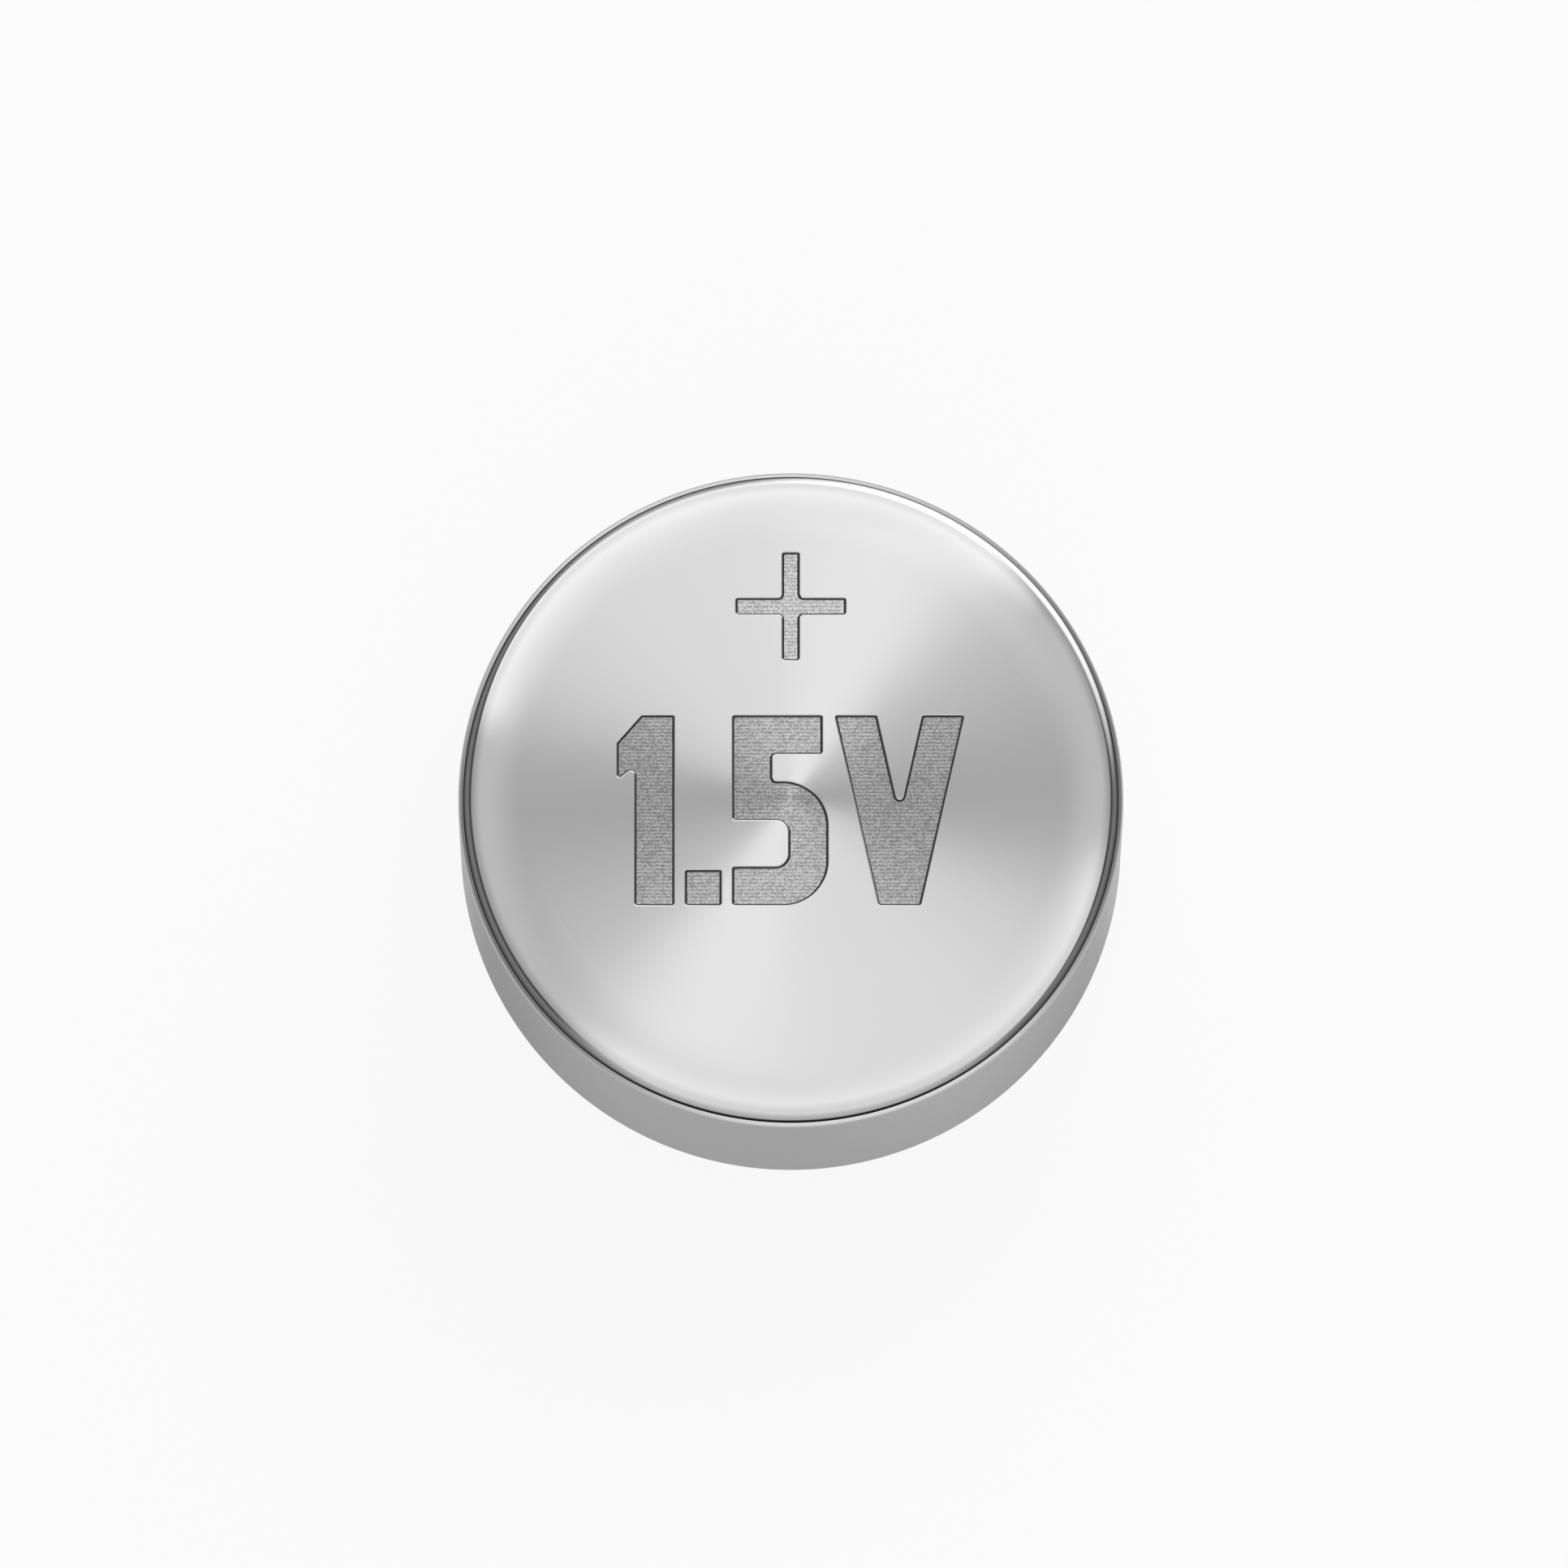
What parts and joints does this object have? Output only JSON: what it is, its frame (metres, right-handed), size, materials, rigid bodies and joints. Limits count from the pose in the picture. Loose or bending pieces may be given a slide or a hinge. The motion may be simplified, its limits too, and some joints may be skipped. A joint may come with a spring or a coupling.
{
  "type": "alkaline button cell",
  "caption": "Round sealed button cell: flat positive can with a rounded edge and sunk polarity and voltage marks, crimped over a smaller negative cap.",
  "frame": {"origin": "centre of the flat negative contact, on which the cell stands", "axes": "+Z along the cell's axis from the negative contact to the positive face; the plus sign lies towards +Y"},
  "size_m": [0.0116, 0.0116, 0.0054],
  "materials": {
    "plated_can": "bright nickel plating with a faint circular grain; the floors of the sunk marks are matt and brushed",
    "plated_cap": "satin nickel-clad sheet with a turned grain",
    "nylon": "natural nylon, satin",
    "cathode_mix": "pressed manganese dioxide and graphite, dull with fine bright specks",
    "plated_ring": "stamped nickel-plated steel, satin",
    "barrier_film": "thin cellulose film, faintly glossy",
    "nonwoven": "damp nonwoven fibre, matt",
    "zinc_gel": "grey gel full of zinc powder, moist"
  },
  "bodies": {
    "root": {"positive_can": "plated_can", "negative_cap": "plated_cap", "gasket": "nylon", "cathode_pellet": "cathode_mix", "cathode_ring": "plated_ring", "separator_membrane": "barrier_film", "absorbent_disc": "nonwoven", "zinc_anode": "zinc_gel"}
  },
  "joints": []
}
